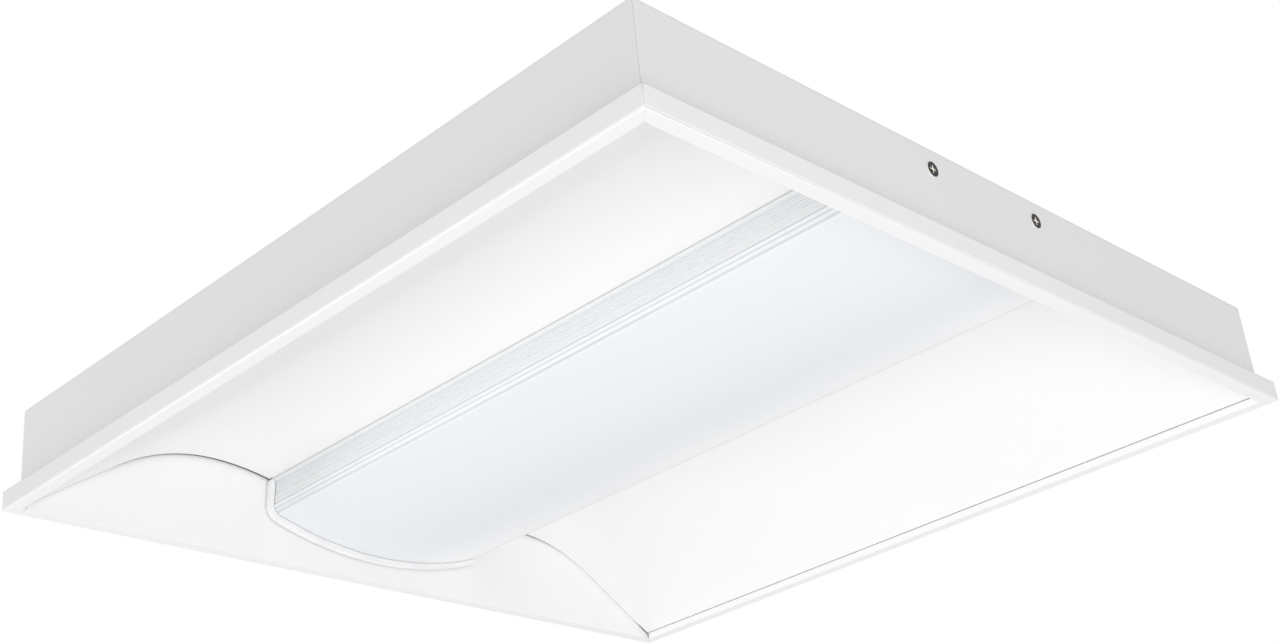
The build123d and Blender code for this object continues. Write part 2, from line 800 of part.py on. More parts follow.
with BuildPart() as lead_bushing:
    with BuildSketch(Plane.YZ.offset(-reflector_inner)):
        with Locations((lead_y, pan_under)):
            Rectangle(lead_notch_width, lead_notch_drop, align=(Align.CENTER, Align.MAX))
    extrude(amount=sheet, both=True)
    for side in (-1, 1):
        with BuildSketch(Plane.YZ.offset(-reflector_inner + side * sheet)):
            with Locations((lead_y, pan_under)):
                Rectangle(
                    lead_notch_width + 2 * bushing_flange,
                    lead_notch_drop + bushing_flange,
                    align=(Align.CENTER, Align.MAX),
                )
        extrude(amount=side * bushing_flange)
    with BuildSketch(Plane.YZ.offset(-reflector_inner)):
        with Locations(*[(y, lead_z) for y in lead_ys]):
            Circle(lead_r)
    extrude(amount=sheet + bushing_flange, both=True, mode=Mode.SUBTRACT)
keep("lead_bushing", lead_bushing)

with BuildPart() as mains_leads:
    for x in mains_lead_xs:
        lead(
            mains_lead_r,
            lead_bend,
            (x, driver_start + lead_hold, driver_lead_z),
            (x, driver_start - lead_dip, driver_lead_z),
            (x, push_in_y + lead_dip, push_in_z),
            (x, push_in_y - lead_hold, push_in_z),
        )
keep("mains_leads", mains_leads)

with BuildPart() as push_in_connectors:
    with BuildSketch(Plane.XY.offset(push_in_z)):
        with Locations(*[(x, push_in_y) for x in mains_lead_xs]):
            Rectangle(push_in_size[0], push_in_size[1], align=(Align.CENTER, Align.MAX))
    extrude(amount=push_in_size[2] / 2, both=True)
    with BuildSketch(across(push_in_y)):
        with Locations(*[(x, push_in_z) for x in mains_lead_xs]):
            Circle(mains_lead_r)
    extrude(amount=lead_hold, mode=Mode.SUBTRACT)
    # Empty ports take the building's own wires
    with BuildSketch(across(push_in_y - push_in_size[1])):
        with Locations(*[(x, push_in_z) for x in mains_lead_xs]):
            Circle(mains_lead_r)
    extrude(amount=-lead_hold, mode=Mode.SUBTRACT)
keep("push_in_connectors", push_in_connectors)

with BuildPart() as ground_lead:
    lead(
        mains_lead_r,
        ground_bend,
        (driver_x, driver_start + lead_hold, ground_lead_z),
        (driver_x, driver_start - ground_run, ground_lead_z),
        (driver_x, driver_start - 2 * ground_run, terminal_under - mains_lead_r / 2),
        (driver_x, ground_screw_y + 2 * driver_screw_r + terminal_sheet, terminal_under - mains_lead_r / 2),
    )
    with BuildSketch(Plane.XY.offset(terminal_under)):
        with Locations((driver_x, ground_screw_y)):
            Circle(driver_screw_head_r)
            Rectangle(
                2 * mains_lead_r,
                driver_start - 2 * ground_run + terminal_sheet - ground_screw_y,
                align=(Align.CENTER, Align.MIN),
            )
            Circle(driver_screw_r, mode=Mode.SUBTRACT)
    extrude(amount=terminal_sheet)
keep("ground_lead", ground_lead)

# ---------------------------------------------------------------- access cover
knockout_ys = (cover_y - knockout_spacing / 2, cover_y + knockout_spacing / 2)
with BuildPart() as access_cover:
    with BuildSketch(Plane.XY.offset(pan_height)):
        with Locations((cover_x, cover_y)):
            RectangleRounded(cover_width, cover_length, cover_corner)
        with Locations(*[(cover_x, y) for y in knockout_ys]):
            Circle(knockout_r, mode=Mode.SUBTRACT)
        with Locations((cover_x, cover_screw_y)):
            Circle(cover_screw_r + thread_play, mode=Mode.SUBTRACT)
    extrude(amount=cover_sheet)
    # Each hook drops through its slot and turns back under the housing
    with BuildSketch(Plane.XY.offset(pan_height)):
        with Locations(*hook_places):
            Rectangle(hook_width, cover_sheet)
    extrude(amount=-sheet - hook_drop - cover_sheet)
    with BuildSketch(Plane.XY.offset(pan_under - hook_drop)):
        with Locations(*hook_places):
            Rectangle(hook_width, hook_reach, align=(Align.CENTER, Align.MAX))
    extrude(amount=-cover_sheet)
keep("access_cover", access_cover)

with BuildPart() as knockout_slug:
    with BuildSketch(Plane.XY.offset(pan_height)):
        with Locations((cover_x, knockout_ys[1])):
            Circle(knockout_r)
            Circle(knockout_r - slug_gap, mode=Mode.SUBTRACT)
            Rectangle(2 * knockout_r, slug_tab, mode=Mode.INTERSECT)
            Circle(knockout_r - slug_gap)
    extrude(amount=cover_sheet)
keep("knockout_slug", knockout_slug)

with BuildPart() as cover_screw:
    with BuildSketch(Plane.XY.offset(pan_height + cover_sheet)):
        with Locations((cover_x, cover_screw_y)):
            Circle(cover_screw_head_r)
    extrude(amount=cover_screw_head)
    with BuildSketch(Plane.XY.offset(pan_height + cover_sheet)):
        with Locations((cover_x, cover_screw_y)):
            Circle(cover_screw_r)
    extrude(amount=-cover_screw_length)
keep("cover_screw", cover_screw)
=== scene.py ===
import json
import logging
import math
from contextlib import contextmanager
from dataclasses import dataclass
from enum import Enum
from functools import partialmethod
from typing import Callable, Iterator, Sequence

import bmesh
import bpy
from mathutils import Matrix, Vector

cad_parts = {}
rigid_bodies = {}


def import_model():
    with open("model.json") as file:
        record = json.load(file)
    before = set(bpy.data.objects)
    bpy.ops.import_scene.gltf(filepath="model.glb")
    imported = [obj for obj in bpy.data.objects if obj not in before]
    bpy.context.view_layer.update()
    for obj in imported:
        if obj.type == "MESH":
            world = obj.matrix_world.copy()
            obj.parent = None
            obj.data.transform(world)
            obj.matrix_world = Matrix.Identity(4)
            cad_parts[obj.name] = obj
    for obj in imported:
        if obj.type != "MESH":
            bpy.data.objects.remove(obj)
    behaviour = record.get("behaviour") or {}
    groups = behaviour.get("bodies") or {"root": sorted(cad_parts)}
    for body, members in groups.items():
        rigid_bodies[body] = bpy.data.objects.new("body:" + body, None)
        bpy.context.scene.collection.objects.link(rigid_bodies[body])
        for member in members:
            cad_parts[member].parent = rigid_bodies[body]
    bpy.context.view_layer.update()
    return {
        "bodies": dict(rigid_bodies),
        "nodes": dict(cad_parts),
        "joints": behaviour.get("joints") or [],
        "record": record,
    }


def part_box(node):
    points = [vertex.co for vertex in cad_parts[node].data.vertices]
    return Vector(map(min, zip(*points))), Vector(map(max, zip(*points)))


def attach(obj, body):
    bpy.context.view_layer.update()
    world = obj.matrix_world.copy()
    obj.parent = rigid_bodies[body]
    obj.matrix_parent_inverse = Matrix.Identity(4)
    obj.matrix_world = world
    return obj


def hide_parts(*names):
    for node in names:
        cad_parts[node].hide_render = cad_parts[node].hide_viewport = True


# Lengths and places are in metres, unless a docstring says otherwise.
log = logging.getLogger("troffer")

Colour = tuple[float, float, float]
Place = tuple[float, float, float]
Span = tuple[float, float]
Test = Callable[[object], bool]
Piece = bpy.types.Object
Material = bpy.types.Material
Socket = bpy.types.NodeSocket

MM = 0.001
X, Y, Z = range(3)
SLACK = 0.1 * MM  # places nearer than this count as one
WELD = 0.002 * MM  # corners nearer than this are joined
FLAT = math.radians(0.2)  # faces that meet under this angle are one
SHARP = 0.9  # radians over which an edge counts as sharp
FACING = 0.9  # cosine over which a face looks along an axis

# grey of the dark joints at the corners, also used for the painted shadow line along the rim's top edge
JOINT_AND_SHADOW = (0.3, 0.3, 0.31)
# grey of the painted shade and shadow lines on the lens
LENS_SHADE = (0.3, 0.33, 0.36)


# ---------------- shader maths
class Wire:
    """One output of a node tree, written in Python expressions.

    Args:
        bench: The node bench that owns the tree.
        socket: The output socket that carries the value.
    """

    def __init__(self, bench: "NodeBench", socket: Socket) -> None:
        """Holds the socket and its bench."""
        self.bench = bench
        self.socket = socket

    def maths(self, operation: str, *others: "Wire | float") -> "Wire":
        """The result of Blender's Math operation on this wire and the operation's other inputs."""
        values = dict(enumerate((self, *others)))
        return Wire(self.bench, self.bench.node("Math", values, operation=operation).outputs[0])

    __add__ = __radd__ = partialmethod(maths, "ADD")
    __sub__ = partialmethod(maths, "SUBTRACT")
    __mul__ = __rmul__ = partialmethod(maths, "MULTIPLY")
    __truediv__ = partialmethod(maths, "DIVIDE")
    __pow__ = partialmethod(maths, "POWER")
    size = partialmethod(maths, "ABSOLUTE")
    part = partialmethod(maths, "FRACT")
    below = partialmethod(maths, "LESS_THAN")
    above = partialmethod(maths, "GREATER_THAN")
    least = partialmethod(maths, "MINIMUM")
    most = partialmethod(maths, "MAXIMUM")

    def __rsub__(self, other: float) -> "Wire":
        """Other minus self."""
        node = self.bench.node("Math", {0: other, 1: self}, operation="SUBTRACT")
        return Wire(self.bench, node.outputs[0])

    def near(self, place: float, reach: float) -> "Wire":
        """One within reach of a place, else nothing."""
        return (self - place).size().below(reach)

    def swing(self, amount: float) -> "Wire":
        """The value's swing about one half, times an amount."""
        return amount * (self - 0.5)

    def between(self, low: float, high: float) -> "Wire":
        """Fades from nothing at low to one at high.

        Args:
            low: Value where the result is 0.
            high: Value where the result is 1.

        Returns:
            The clamped ramp.
        """
        node = self.bench.node(
            "MapRange",
            {"Value": self, "From Min": low, "From Max": high},
            interpolation_type="SMOOTHSTEP",
            clamp=True,
        )
        return Wire(self.bench, node.outputs[0])


@dataclass(frozen=True)
class Mark:
    """A mark in a finish.

    Attributes:
        share: How much of it shows.
        colour: Its colour.
    """

    share: float
    colour: Colour


class NodeBench:
    """A material or a world under construction.

    Args:
        owner: The new material or world.
    """

    # a Mix node's colour sockets are only told apart by their places
    MIX_SHARE, MIX_FIRST, MIX_SECOND, MIX_RESULT = 0, 6, 7, 2

    def __init__(self, owner: bpy.types.ID) -> None:
        """Starts an empty node tree."""
        self.owner = owner
        owner.use_nodes = True
        self.tree = owner.node_tree
        self.tree.nodes.clear()

    @classmethod
    def material(cls, name: str) -> "NodeBench":
        """Starts a material whose patterns sit in the object's own frame.

        Args:
            name: The material's name.

        Returns:
            The bench with the new material on it.
        """
        bench = cls(bpy.data.materials.new(name))
        bench.place = bench.node("TexCoord").outputs["Object"]
        return bench

    def node(
        self, kind: str, values: dict[str | int, object] | None = None, **settings: object
    ) -> bpy.types.Node:
        """Adds any node, sets it up and feeds its inputs.

        Args:
            kind: The shader node's type, without its prefix.
            values: Numbers, colours, wires or sockets by input name or index.
            settings: Attributes, set before the inputs.

        Returns:
            The new node.
        """
        made = self.tree.nodes.new(f"ShaderNode{kind}")
        for name, value in settings.items():
            setattr(made, name, value)
        for name, value in (values or {}).items():
            socket = made.inputs[name]
            if isinstance(value, Wire):
                value = value.socket
            if isinstance(value, Socket):
                self.tree.links.new(value, socket)
            elif socket.type == "RGBA":
                socket.default_value = (*value, 1.0)
            else:
                socket.default_value = value
        return made

    def axes(self) -> tuple[Wire, ...]:
        """The surface point's X, Y and Z in the object's own frame."""
        split = self.node("SeparateXYZ", {0: self.place})
        return tuple(Wire(self, output) for output in split.outputs)

    def noise(self, scale: float, detail: float = 2.0, stretch: Place = (1.0, 1.0, 1.0)) -> Wire:
        """Soft random variation.

        Args:
            scale: Lumps per metre.
            detail: Octaves of finer lumps.
            stretch: Scale along each axis.

        Returns:
            Values around one half.
        """
        placed = self.node("Mapping", {"Vector": self.place, "Scale": stretch})
        values = {"Vector": placed.outputs[0], "Scale": scale, "Detail": detail}
        return Wire(self, self.node("TexNoise", values).outputs[0])

    def cells(self, scale: float) -> Wire:
        """Distance to the nearest of many scattered points, so many per metre, in cell widths."""
        made = self.node("TexVoronoi", {"Vector": self.place, "Scale": scale})
        return Wire(self, made.outputs["Distance"])

    def blend(self, share: Wire, first: Colour | Socket, second: Colour | Socket) -> Socket:
        """Mixes two colours, by the share of the second."""
        values = {self.MIX_SHARE: share, self.MIX_FIRST: first, self.MIX_SECOND: second}
        return self.node("Mix", values, data_type="RGBA").outputs[self.MIX_RESULT]

    def mark(self, where: Wire, mark: Mark, tint: Socket) -> Socket:
        """Adds a mark to a tint, where a pattern says."""
        return self.blend(where * mark.share, tint, mark.colour)

    def bump(self, height: Wire, strength: float, depth: float) -> Socket:
        """Bends the normal by a height pattern of a given depth, at a given strength."""
        values = {"Height": height, "Strength": strength, "Distance": depth}
        return self.node("Bump", values).outputs[0]

    def close(self, **inputs: object) -> Material:
        """Ends the material in a Principled shader.

        Args:
            inputs: The shader's inputs, with underscores for spaces.

        Returns:
            The finished material.
        """
        values = {name.replace("_", " "): value for name, value in inputs.items()}
        shader = self.node("BsdfPrincipled", values)
        self.node("OutputMaterial", {0: shader.outputs[0]})
        return self.owner


# ---------------- finishes
@dataclass(frozen=True)
class Finish:
    """What all finishes share.

    Attributes:
        name: The material's name.
        colour: Its main colour.
    """

    name: str
    colour: Colour

    @property
    def material(self) -> Material:
        """The finish's material, made the first time that it's asked for."""
        return bpy.data.materials.get(self.name) or self.make()

    def make(self) -> Material:
        """Builds the material, each finish in its own way."""
        raise NotImplementedError

    def dimmed(self, share: float) -> Colour:
        """The main colour at a share of its brightness."""
        return tuple(value * share for value in self.colour)


class Sheen(Enum):
    """Mean roughness of a powder coat."""

    MATT = 0.62
    SATIN = 0.46
    GLOSS = 0.3


@dataclass(frozen=True)
class PowderCoat(Finish):
    """Powder coat on sheet steel, with its fine orange peel.

    Attributes:
        sheen: How far it shines.
        peel: Depth of the orange peel.
        specks: Share of the pinholes that shows.
        pinhole: Colour in the pinholes.
    """

    sheen: Sheen = Sheen.SATIN
    peel: float = 0.05 * MM
    specks: float = 0.05
    pinhole: Colour = (0.25, 0.25, 0.26)

    def marked(self, bench: NodeBench, tint: Socket) -> Socket:
        """Leaves the plain coat as it is; coats with joints or seams add them here."""
        return tint

    def make(self) -> Material:
        """Builds the material.

        Returns:
            The material.
        """
        bench = NodeBench.material(self.name)
        cloud = bench.noise(scale=9.0, detail=3.0)
        grain = bench.noise(scale=620.0)
        holes = 1.0 - bench.cells(scale=210.0).between(0.05, 0.12)
        sparse = bench.noise(scale=55.0, detail=1.0).between(0.52, 0.6)
        tint = bench.blend(cloud.between(0.35, 0.65) * 0.5, self.colour, self.dimmed(0.985))
        tint = bench.blend(holes * sparse * self.specks, tint, self.pinhole)
        tint = self.marked(bench, tint)
        lumps = bench.noise(scale=260.0, detail=1.0)
        normal = bench.bump(grain * 0.5 + lumps, strength=0.35, depth=self.peel)
        rough = self.sheen.value + cloud.swing(0.08) + grain.swing(0.05)
        return bench.close(Base_Color=tint, Roughness=rough, Normal=normal, Specular_IOR_Level=0.45)


@dataclass(frozen=True)
class MitredCoat(PowderCoat):
    """A powder coat with a fine joint where sheets meet at each corner.

    Attributes:
        joint: The joint's mark.
        joint_fade: Distances from the mitre where the joint is full and gone.
        corner: Distance from the middle where the corners start.
    """

    joint: Mark = Mark(0.36, JOINT_AND_SHADOW)
    joint_fade: Span = (0.1 * MM, 0.6 * MM)
    corner: float = 285.0 * MM

    def marked(self, bench: NodeBench, tint: Socket) -> Socket:
        """Adds the joints.

        Args:
            bench: The material's bench.
            tint: The plain coat's colour.

        Returns:
            The colour with its joints.
        """
        x, y, _ = bench.axes()
        line = 1.0 - (x.size() - y.size()).size().between(*self.joint_fade)
        corner = x.size().least(y.size()).above(self.corner)
        return bench.mark(line * corner, self.joint, tint)


@dataclass(frozen=True)
class RimCoat(MitredCoat):
    """The rim's coat, with a painted highlight on the outer rounding and a painted shadow line along its top
    edge.

    Attributes:
        bend_highlight: The painted highlight on the outer rounding.
        bend_size: Width and height of the outer rounding.
        ledge_shadow: The painted shadow line along the rim's top edge.
        ledge_height: Height of the band along the rim's top edge.
    """

    bend_highlight: Mark = Mark(1.0, (0.97, 0.97, 0.97))
    bend_size: Span = (1.4 * MM, 1.5 * MM)
    ledge_shadow: Mark = Mark(0.4, JOINT_AND_SHADOW)
    ledge_height: float = 0.8 * MM

    def marked(self, bench: NodeBench, tint: Socket) -> Socket:
        """Adds the joints, the painted highlight on the outer rounding and the painted shadow line along the
        top edge.

        Args:
            bench: The material's bench.
            tint: The plain coat's colour.

        Returns:
            The rim's colour.
        """
        tint = super().marked(bench, tint)
        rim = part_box("rim_rail_right")[1]
        width, height = self.bend_size
        x, y, z = bench.axes()
        outer = x.size().most(y.size()).above(rim.x - width)
        # painted highlight on the outer rounding of the rim's underside
        tint = bench.mark(outer * z.below(height), self.bend_highlight, tint)
        # painted shadow line along the top of the rim's outer face
        return bench.mark(outer * z.above(rim.z - self.ledge_height), self.ledge_shadow, tint)


@dataclass(frozen=True)
class ReflectorCoat(PowderCoat):
    """The reflectors' coat, with painted shadow along the ends where the seam to the end plates stands open.

    Attributes:
        left_open: On the left, distances where the open seam starts and ends to close.
        open: The same on both sides.
        foot: Distances where it opens again towards the foot.
        tight: On the right and at the rear, distances where it closes for good.
        widths: Width of the painted shadow at the closed seam and what the open one adds.
        closed: Strength of the painted shadow at the closed seam and how much fainter it is where it closes
            for good.
        seam_shadow: The painted shadow in the open seam.
    """

    left_open: Span = (210.0 * MM, 265.0 * MM)
    open: Span = (130.0 * MM, 230.0 * MM)
    foot: Span = (270.0 * MM, 286.0 * MM)
    tight: Span = (130.0 * MM, 200.0 * MM)
    widths: Span = (0.5 * MM, 1.1 * MM)
    closed: Span = (0.55, 0.45)
    seam_shadow: Mark = Mark(0.95, (0.02, 0.02, 0.022))

    def marked(self, bench: NodeBench, tint: Socket) -> Socket:
        """Paints the shadow in the seams.

        Args:
            bench: The material's bench.
            tint: The plain coat's colour.

        Returns:
            The colour with the painted shadow in its seams.
        """
        x, y, _ = bench.axes()
        far = x.size()
        left = x.below(0.0) * (1.0 - far.between(*self.left_open))
        inner = left.most(1.0 - far.between(*self.open))
        foot = far.between(*self.foot)
        tight = x.between(*self.tight) * y.above(0.0)
        width = self.widths[0] + self.widths[1] * inner.most(foot * 0.5)
        # painted shadow along each end of the reflector, in the seam to the end plate
        shadow = y.size().above(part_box("reflector_right")[1].y - width)
        shade = (self.closed[0] - self.closed[1] * tight).most(inner.most(foot) * self.seam_shadow.share)
        return bench.blend(shadow * shade, tint, self.seam_shadow.colour)


@dataclass(frozen=True)
class PlatedSteel(Finish):
    """Zinc plated or bright steel with a soft spangle and rolling lines.

    Attributes:
        roughness: Mean roughness.
        rolling: Strength of the rolling lines.
    """

    roughness: float = 0.34
    rolling: float = 0.3

    def make(self) -> Material:
        """Builds the material.

        Returns:
            The material.
        """
        bench = NodeBench.material(self.name)
        spangle = bench.noise(scale=140.0, detail=3.0)
        lines = bench.noise(scale=900.0, detail=1.0, stretch=(0.03, 1.0, 1.0))
        tint = bench.blend(spangle.between(0.35, 0.7) * 0.5, self.colour, self.dimmed(0.8))
        normal = bench.bump(lines, self.rolling, depth=0.03 * MM)
        rough = self.roughness + spangle.swing(0.16) + lines.swing(0.1)
        return bench.close(Base_Color=tint, Metallic=0.92, Roughness=rough, Normal=normal)


@dataclass(frozen=True)
class DarkScrew(Finish):
    """Dark plated screws, some with a painted glint in the recess and a painted highlight round the edge of
    the head.

    Attributes:
        tinge: Colour where the coat is thin.
        heads: X and Z of each head that gets the painted glint and highlight.
        face: Distance from the middle under which the recess gets the painted glint.
        recess: Radius of the recess.
        edge: Radius where the painted highlight round the head starts.
        recess_glint: Colour of the painted glint in the recess.
        bright: Colour of the painted highlight round the edge.
    """

    tinge: Colour
    heads: Sequence[Span] = ()
    face: float = 0.0
    recess: float = 2.7 * MM
    edge: float = 4.8 * MM
    recess_glint: Colour = (0.95, 0.9, 0.84)
    bright: Colour = (0.9, 0.9, 0.9)

    def make(self) -> Material:
        """Builds the material.

        Returns:
            The material.
        """
        bench = NodeBench.material(self.name)
        patch = bench.noise(scale=420.0, detail=3.0)
        tint = bench.blend(patch.between(0.5, 0.75), self.colour, self.tinge)
        x, y, z = bench.axes()
        for across, up in self.heads:
            radius = ((x - across) ** 2.0 + (z - up) ** 2.0) ** 0.5
            # painted glint in the recess
            tint = bench.blend(radius.below(self.recess) * y.size().below(self.face), tint, self.recess_glint)
            # painted highlight round the head's edge
            tint = bench.blend(radius.above(self.edge) * radius.below(2.0 * self.edge), tint, self.bright)
        normal = bench.bump(bench.noise(scale=1500.0), strength=0.3, depth=0.03 * MM)
        rough = 0.32 + patch.swing(0.2)
        return bench.close(
            Base_Color=tint, Metallic=0.35, Roughness=rough, Normal=normal, Specular_IOR_Level=0.6
        )


@dataclass(frozen=True)
class MouldedPlastic(Finish):
    """Moulded or extruded plastic with a fine spark-eroded texture.

    Attributes:
        roughness: Mean roughness.
        coat: Clear gloss over it.
        glow: Share of light that goes in and scatters.
    """

    roughness: float = 0.45
    coat: float = 0.0
    glow: float = 0.0

    def make(self) -> Material:
        """Builds the material.

        Returns:
            The material.
        """
        bench = NodeBench.material(self.name)
        cloud = bench.noise(scale=60.0)
        spark = bench.noise(scale=1400.0)
        tint = bench.blend(cloud.between(0.4, 0.7) * 0.6, self.colour, self.dimmed(0.93))
        return bench.close(
            Base_Color=tint,
            Roughness=self.roughness + cloud.swing(0.1) + spark.swing(0.08),
            Normal=bench.bump(spark, strength=0.3, depth=0.03 * MM),
            Coat_Weight=self.coat,
            Subsurface_Weight=self.glow,
            Subsurface_Radius=(3.0 * MM, 3.0 * MM, 3.0 * MM),
        )


@dataclass(frozen=True)
class PrismAcrylic(Finish):
    """Frosted acrylic of the lens: fine prisms along its bottom, fluted flanks, with painted shade and
    highlights on them.

    Heights are above the rim's underside.

    Attributes:
        flank: Colour of the flanks and the beads.
        flank_fade: Heights where the bottom's look ends and the flank's is full.
        prism: Painted shade between two prisms.
        prism_pitch: Width of one prism.
        painted_light: Painted light on the bottom, towards its right edge.
        painted_light_fade: X where it starts and is full.
        edge: The fine painted shadow line along the right edge.
        edge_shadow_place: X where that line starts and its height.
        flute: Painted shade in a fine flute.
        flute_limits: Heights under and over the rows of fine flutes.
        flute_row: Height of the top flute's middle and the fine flutes' spacing.
        flute_width: Half a flute's width as a share of the spacing.
        bold: Painted shade in a bold flute.
        bold_heights: Heights of the bold flutes round the foot.
        bold_reach: Half the width of a bold flute.
        gleam: The painted highlight line over a bold flute.
        gleam_band: How far over the flute it lies and half its width.
        foot_shade: Painted shade on the band above the foot.
        foot_shade_band: Height of that band's middle and half its width.
        seam: The painted shadow line before each end cap.
        seam_width: How far it shows before the cap.
    """

    flank: Colour
    flank_fade: Span = (34.0 * MM, 37.0 * MM)
    prism: Mark = Mark(0.16, (0.52, 0.55, 0.6))
    prism_pitch: float = 2.0 * MM
    painted_light: Mark = Mark(0.85, (0.97, 0.975, 0.985))
    painted_light_fade: Span = (10.0 * MM, 84.0 * MM)
    edge: Mark = Mark(0.18, LENS_SHADE)
    edge_shadow_place: Span = (87.6 * MM, 39.0 * MM)
    flute: Mark = Mark(0.16, LENS_SHADE)
    flute_limits: Span = (44.6 * MM, 59.6 * MM)
    flute_row: Span = (58.8 * MM, 2.4 * MM)
    flute_width: float = 0.34
    bold: Mark = Mark(0.35, LENS_SHADE)
    bold_heights: Sequence[float] = (41.7 * MM, 38.6 * MM, 35.8 * MM)
    bold_reach: float = 0.5 * MM
    gleam: Mark = Mark(0.25, (0.98, 0.98, 0.98))
    gleam_band: Span = (1.6 * MM, 0.6 * MM)
    foot_shade: Mark = Mark(0.3, (0.6, 0.62, 0.65))
    foot_shade_band: Span = (37.2 * MM, 1.4 * MM)
    seam: Mark = Mark(0.45, LENS_SHADE)
    seam_width: float = 0.5 * MM

    def make(self) -> Material:
        """Builds the material.

        Returns:
            The material.
        """
        bench = NodeBench.material(self.name)
        x, y, z = bench.axes()
        bottom = 1.0 - z.between(*self.flank_fade)
        ridge = ((x / self.prism_pitch).part() - 0.5).size() * 2.0
        first, pitch = self.flute_row
        step = (first - z) / pitch + 0.5
        flute = 1.0 - (step.part() - 0.5).size().between(0.0, self.flute_width)
        fluted = z.above(self.flute_limits[0]) * z.below(self.flute_limits[1])
        start, top = self.edge_shadow_place
        lift, reach = self.gleam_band
        cloud = bench.noise(scale=7.0)
        tint = bench.blend(bottom, self.flank, self.colour)
        # painted shade between the prisms
        tint = bench.mark(bottom * ridge, self.prism, tint)
        # painted light towards the bottom's right edge
        tint = bench.mark(x.between(*self.painted_light_fade), self.painted_light, tint)
        # painted shadow line along the right edge
        tint = bench.mark(x.above(start) * z.below(top), self.edge, tint)
        # painted shade in the fine flutes
        tint = bench.mark(flute * fluted, self.flute, tint)
        for height in self.bold_heights:
            # painted shade in each bold flute and a painted highlight line over it
            tint = bench.mark(z.near(height, self.bold_reach), self.bold, tint)
            tint = bench.mark(z.near(height + lift, reach), self.gleam, tint)
        # painted shade on the band above the foot
        tint = bench.mark(z.near(*self.foot_shade_band) * (1.0 - bottom), self.foot_shade, tint)
        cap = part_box("lens_cap_rear")[0].y
        # painted shadow line before each end cap
        tint = bench.mark(y.size().above(cap - self.seam_width), self.seam, tint)
        tint = bench.blend(cloud.between(0.35, 0.7) * 0.25, tint, self.dimmed(0.97))
        return bench.close(
            Base_Color=tint,
            Roughness=0.3 + 0.12 * bottom + cloud.swing(0.08),
            Normal=bench.bump(bottom * ridge, strength=0.15, depth=0.4 * MM),
            Coat_Weight=0.12,
            Coat_Roughness=0.2,
        )


@dataclass(frozen=True)
class CellFoam(Finish):
    """Closed-cell foam strip."""

    def make(self) -> Material:
        """Builds the material.

        Returns:
            The material.
        """
        bench = NodeBench.material(self.name)
        pores = bench.cells(scale=900.0)
        deep = 1.0 - pores.between(0.1, 0.5)
        tint = bench.blend(deep * 0.35, self.colour, self.dimmed(0.75))
        normal = bench.bump(pores, strength=0.6, depth=0.3 * MM)
        return bench.close(Base_Color=tint, Roughness=0.9, Normal=normal)


@dataclass(frozen=True, kw_only=True)
class SolderMask(Finish):
    """White lamp board with copper runs that show through and tinned pads.

    A span holds the two distances between which a form starts or ends.

    Attributes:
        centre: X of the board's middle line.
        pitch: Spacing of the lamps.
        rail: Inner side of the copper rails, from the middle line.
        side: Outer side of the rails and of the links between them.
        link: Side of the link at each lamp.
        pad_length: End of the pads under a lamp.
        pad_width: Side of the pads.
        tin: Colour of the pads.
    """

    centre: float
    pitch: float
    rail: Span = (5.8 * MM, 6.0 * MM)
    side: Span = (9.2 * MM, 9.4 * MM)
    link: Span = (1.2 * MM, 1.4 * MM)
    pad_length: Span = (2.4 * MM, 2.5 * MM)
    pad_width: Span = (1.9 * MM, 2.0 * MM)
    tin: Colour = (0.66, 0.67, 0.68)

    def make(self) -> Material:
        """Builds the material.

        Returns:
            The material.
        """
        bench = NodeBench.material(self.name)
        x, y, _ = bench.axes()
        across = (x - self.centre).size()
        along = (((y / self.pitch).part() - 0.5) * self.pitch).size()
        inside = 1.0 - across.between(*self.side)
        copper = (across.between(*self.rail) * inside).most((1.0 - along.between(*self.link)) * inside)
        pad = (1.0 - along.between(*self.pad_length)) * (1.0 - across.between(*self.pad_width))
        tint = bench.blend(copper * 0.5, self.colour, self.dimmed(0.9))
        tint = bench.blend(pad, tint, self.tin)
        gloss = bench.noise(scale=500.0)
        return bench.close(
            Base_Color=tint,
            Roughness=0.34 + gloss.swing(0.08) - 0.06 * pad,
            Metallic=pad * 0.8,
            Normal=bench.bump(copper + pad * 0.6 + gloss * 0.08, strength=0.4, depth=0.08 * MM),
        )


@dataclass(frozen=True)
class Phosphor(Finish):
    """Yellow phosphor gel in a lamp package.

    Attributes:
        grit: Colour of the phosphor's grains.
    """

    grit: Colour = (0.62, 0.45, 0.1)

    def make(self) -> Material:
        """Builds the material.

        Returns:
            The material.
        """
        bench = NodeBench.material(self.name)
        grain = bench.noise(scale=2600.0)
        tint = bench.blend(grain.between(0.3, 0.7) * 0.35, self.colour, self.grit)
        normal = bench.bump(grain, strength=0.2, depth=0.02 * MM)
        return bench.close(Base_Color=tint, Roughness=0.24, Coat_Weight=0.4, Normal=normal)


WALL_COAT = MitredCoat("white_powder_coat", (0.84, 0.84, 0.84), specks=0.12)
INNER_COAT = PowderCoat("inner_powder_coat", (0.95, 0.95, 0.95), Sheen.MATT, specks=0.02)
ZINC = PlatedSteel("zinc_plate", (0.62, 0.64, 0.66))
FOAM = CellFoam("white_foam", (0.86, 0.86, 0.85))


# ---------------- the modeller's bench
def every(part: object) -> bool:
    """A test that all parts of a mesh pass."""
    return True


def sharp(edge: bmesh.types.BMEdge) -> bool:
    """A test for edges where two faces meet at a sharp angle."""
    return edge.calc_face_angle(0.0) > SHARP


def along(axis: int) -> Test:
    """A test for a block's edges that run along an axis."""
    return lambda edge: abs(edge.verts[0].co[axis] - edge.verts[1].co[axis]) > SLACK


def looking(axis: int, *signs: float) -> Test:
    """A test for faces that look up an axis (1.0), down it (-1.0) or both."""
    return lambda face: any(face.normal[axis] * sign > FACING for sign in signs)


